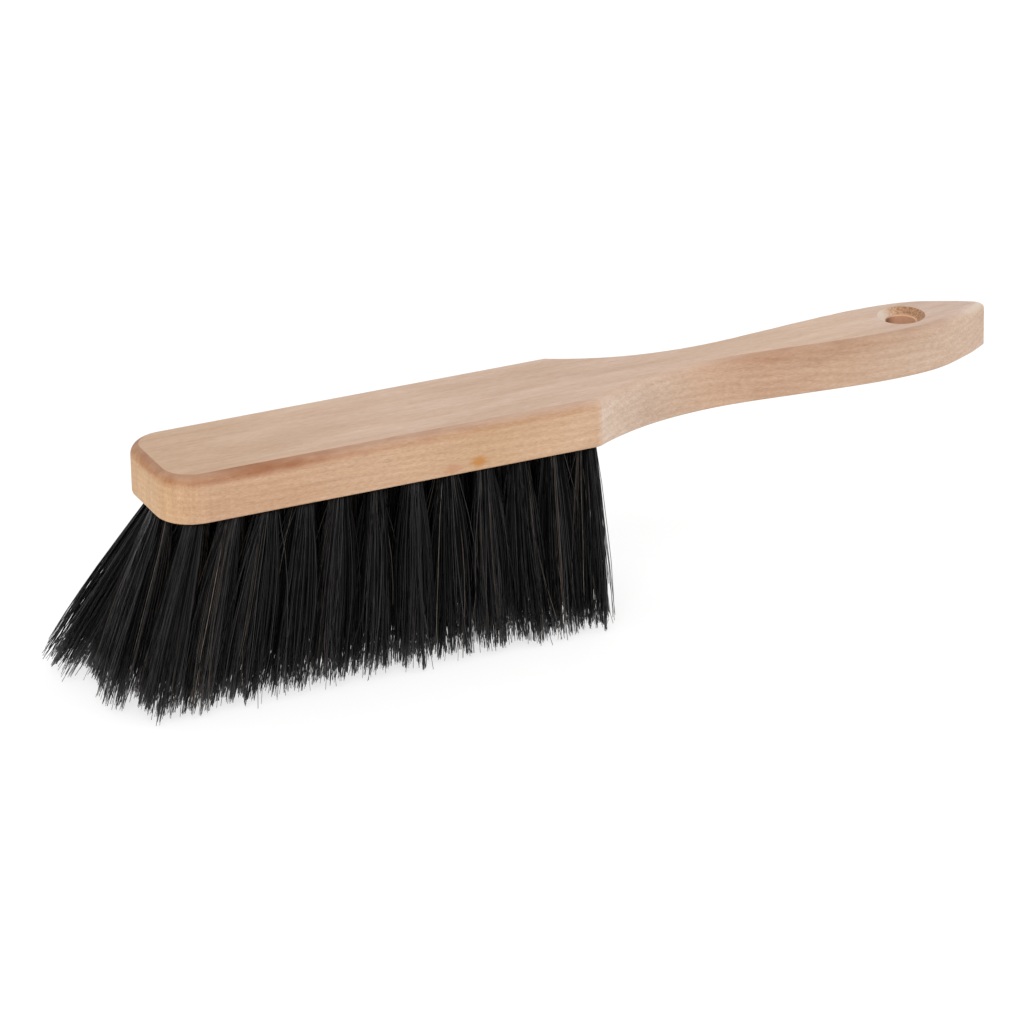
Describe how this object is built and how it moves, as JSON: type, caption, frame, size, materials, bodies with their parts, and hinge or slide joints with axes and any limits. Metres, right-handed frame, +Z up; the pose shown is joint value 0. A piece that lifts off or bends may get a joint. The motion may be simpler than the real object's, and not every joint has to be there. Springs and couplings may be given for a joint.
{
  "type": "bee brush",
  "caption": "Flat wooden bee brush: one-piece head and handle with a hanging hole, and long dark horsehair tufts pinned in rows that flex sideways for sweeping bees off comb.",
  "frame": {"origin": "on the plane of the bristle tips, at the middle of the overall length, on the centreline of the board", "axes": "+X along the board towards the handle, +Y across the board, +Z up from the bristle tips to the back of the board"},
  "size_m": [0.324, 0.056, 0.074],
  "materials": {
    "beech": "fine sanded, bare",
    "horsehair": "long dark brown-black hair",
    "anchor_wire": "drawn flat wire"
  },
  "bodies": {
    "board": {"wooden_body": "beech", "anchors_row_1": "anchor_wire", "anchors_row_2": "anchor_wire", "anchors_row_3": "anchor_wire", "anchors_row_4": "anchor_wire"},
    "hair_row_1": {"tuft_row_1_01": "horsehair", "tuft_row_1_02": "horsehair", "tuft_row_1_03": "horsehair", "tuft_row_1_04": "horsehair", "tuft_row_1_05": "horsehair", "tuft_row_1_06": "horsehair", "tuft_row_1_07": "horsehair", "tuft_row_1_08": "horsehair", "tuft_row_1_09": "horsehair", "tuft_row_1_10": "horsehair", "tuft_row_1_11": "horsehair", "tuft_row_1_12": "horsehair"},
    "hair_row_2": {"tuft_row_2_01": "horsehair", "tuft_row_2_02": "horsehair", "tuft_row_2_03": "horsehair", "tuft_row_2_04": "horsehair", "tuft_row_2_05": "horsehair", "tuft_row_2_06": "horsehair", "tuft_row_2_07": "horsehair", "tuft_row_2_08": "horsehair", "tuft_row_2_09": "horsehair", "tuft_row_2_10": "horsehair", "tuft_row_2_11": "horsehair", "tuft_row_2_12": "horsehair"},
    "hair_row_3": {"tuft_row_3_01": "horsehair", "tuft_row_3_02": "horsehair", "tuft_row_3_03": "horsehair", "tuft_row_3_04": "horsehair", "tuft_row_3_05": "horsehair", "tuft_row_3_06": "horsehair", "tuft_row_3_07": "horsehair", "tuft_row_3_08": "horsehair", "tuft_row_3_09": "horsehair", "tuft_row_3_10": "horsehair", "tuft_row_3_11": "horsehair", "tuft_row_3_12": "horsehair"},
    "hair_row_4": {"tuft_row_4_01": "horsehair", "tuft_row_4_02": "horsehair", "tuft_row_4_03": "horsehair", "tuft_row_4_04": "horsehair", "tuft_row_4_05": "horsehair", "tuft_row_4_06": "horsehair", "tuft_row_4_07": "horsehair", "tuft_row_4_08": "horsehair", "tuft_row_4_09": "horsehair", "tuft_row_4_10": "horsehair", "tuft_row_4_11": "horsehair"}
  },
  "joints": [
    {"name": "flex_row_1", "type": "hinge", "parent": "board", "child": "hair_row_1", "pos_m": [0, -0.016, 0.058], "axis": [1, 0, 0], "range_deg": [-20, 20], "stiffness_Nm_per_rad": 0.05, "deforming": ["tuft_row_1_01", "tuft_row_1_02", "tuft_row_1_03", "tuft_row_1_04", "tuft_row_1_05", "tuft_row_1_06", "tuft_row_1_07", "tuft_row_1_08", "tuft_row_1_09", "tuft_row_1_10", "tuft_row_1_11", "tuft_row_1_12"]},
    {"name": "flex_row_2", "type": "hinge", "parent": "board", "child": "hair_row_2", "pos_m": [0, -0.0054, 0.058], "axis": [1, 0, 0], "range_deg": [-20, 20], "stiffness_Nm_per_rad": 0.05, "deforming": ["tuft_row_2_01", "tuft_row_2_02", "tuft_row_2_03", "tuft_row_2_04", "tuft_row_2_05", "tuft_row_2_06", "tuft_row_2_07", "tuft_row_2_08", "tuft_row_2_09", "tuft_row_2_10", "tuft_row_2_11", "tuft_row_2_12"]},
    {"name": "flex_row_3", "type": "hinge", "parent": "board", "child": "hair_row_3", "pos_m": [0, 0.0054, 0.058], "axis": [1, 0, 0], "range_deg": [-20, 20], "stiffness_Nm_per_rad": 0.05, "deforming": ["tuft_row_3_01", "tuft_row_3_02", "tuft_row_3_03", "tuft_row_3_04", "tuft_row_3_05", "tuft_row_3_06", "tuft_row_3_07", "tuft_row_3_08", "tuft_row_3_09", "tuft_row_3_10", "tuft_row_3_11", "tuft_row_3_12"]},
    {"name": "flex_row_4", "type": "hinge", "parent": "board", "child": "hair_row_4", "pos_m": [0, 0.016, 0.058], "axis": [1, 0, 0], "range_deg": [-20, 20], "stiffness_Nm_per_rad": 0.05, "deforming": ["tuft_row_4_01", "tuft_row_4_02", "tuft_row_4_03", "tuft_row_4_04", "tuft_row_4_05", "tuft_row_4_06", "tuft_row_4_07", "tuft_row_4_08", "tuft_row_4_09", "tuft_row_4_10", "tuft_row_4_11"]}
  ],
  "couplings": [
    {"joint": "flex_row_2", "follows": "flex_row_1", "ratio": 1},
    {"joint": "flex_row_3", "follows": "flex_row_1", "ratio": 1},
    {"joint": "flex_row_4", "follows": "flex_row_1", "ratio": 1}
  ]
}
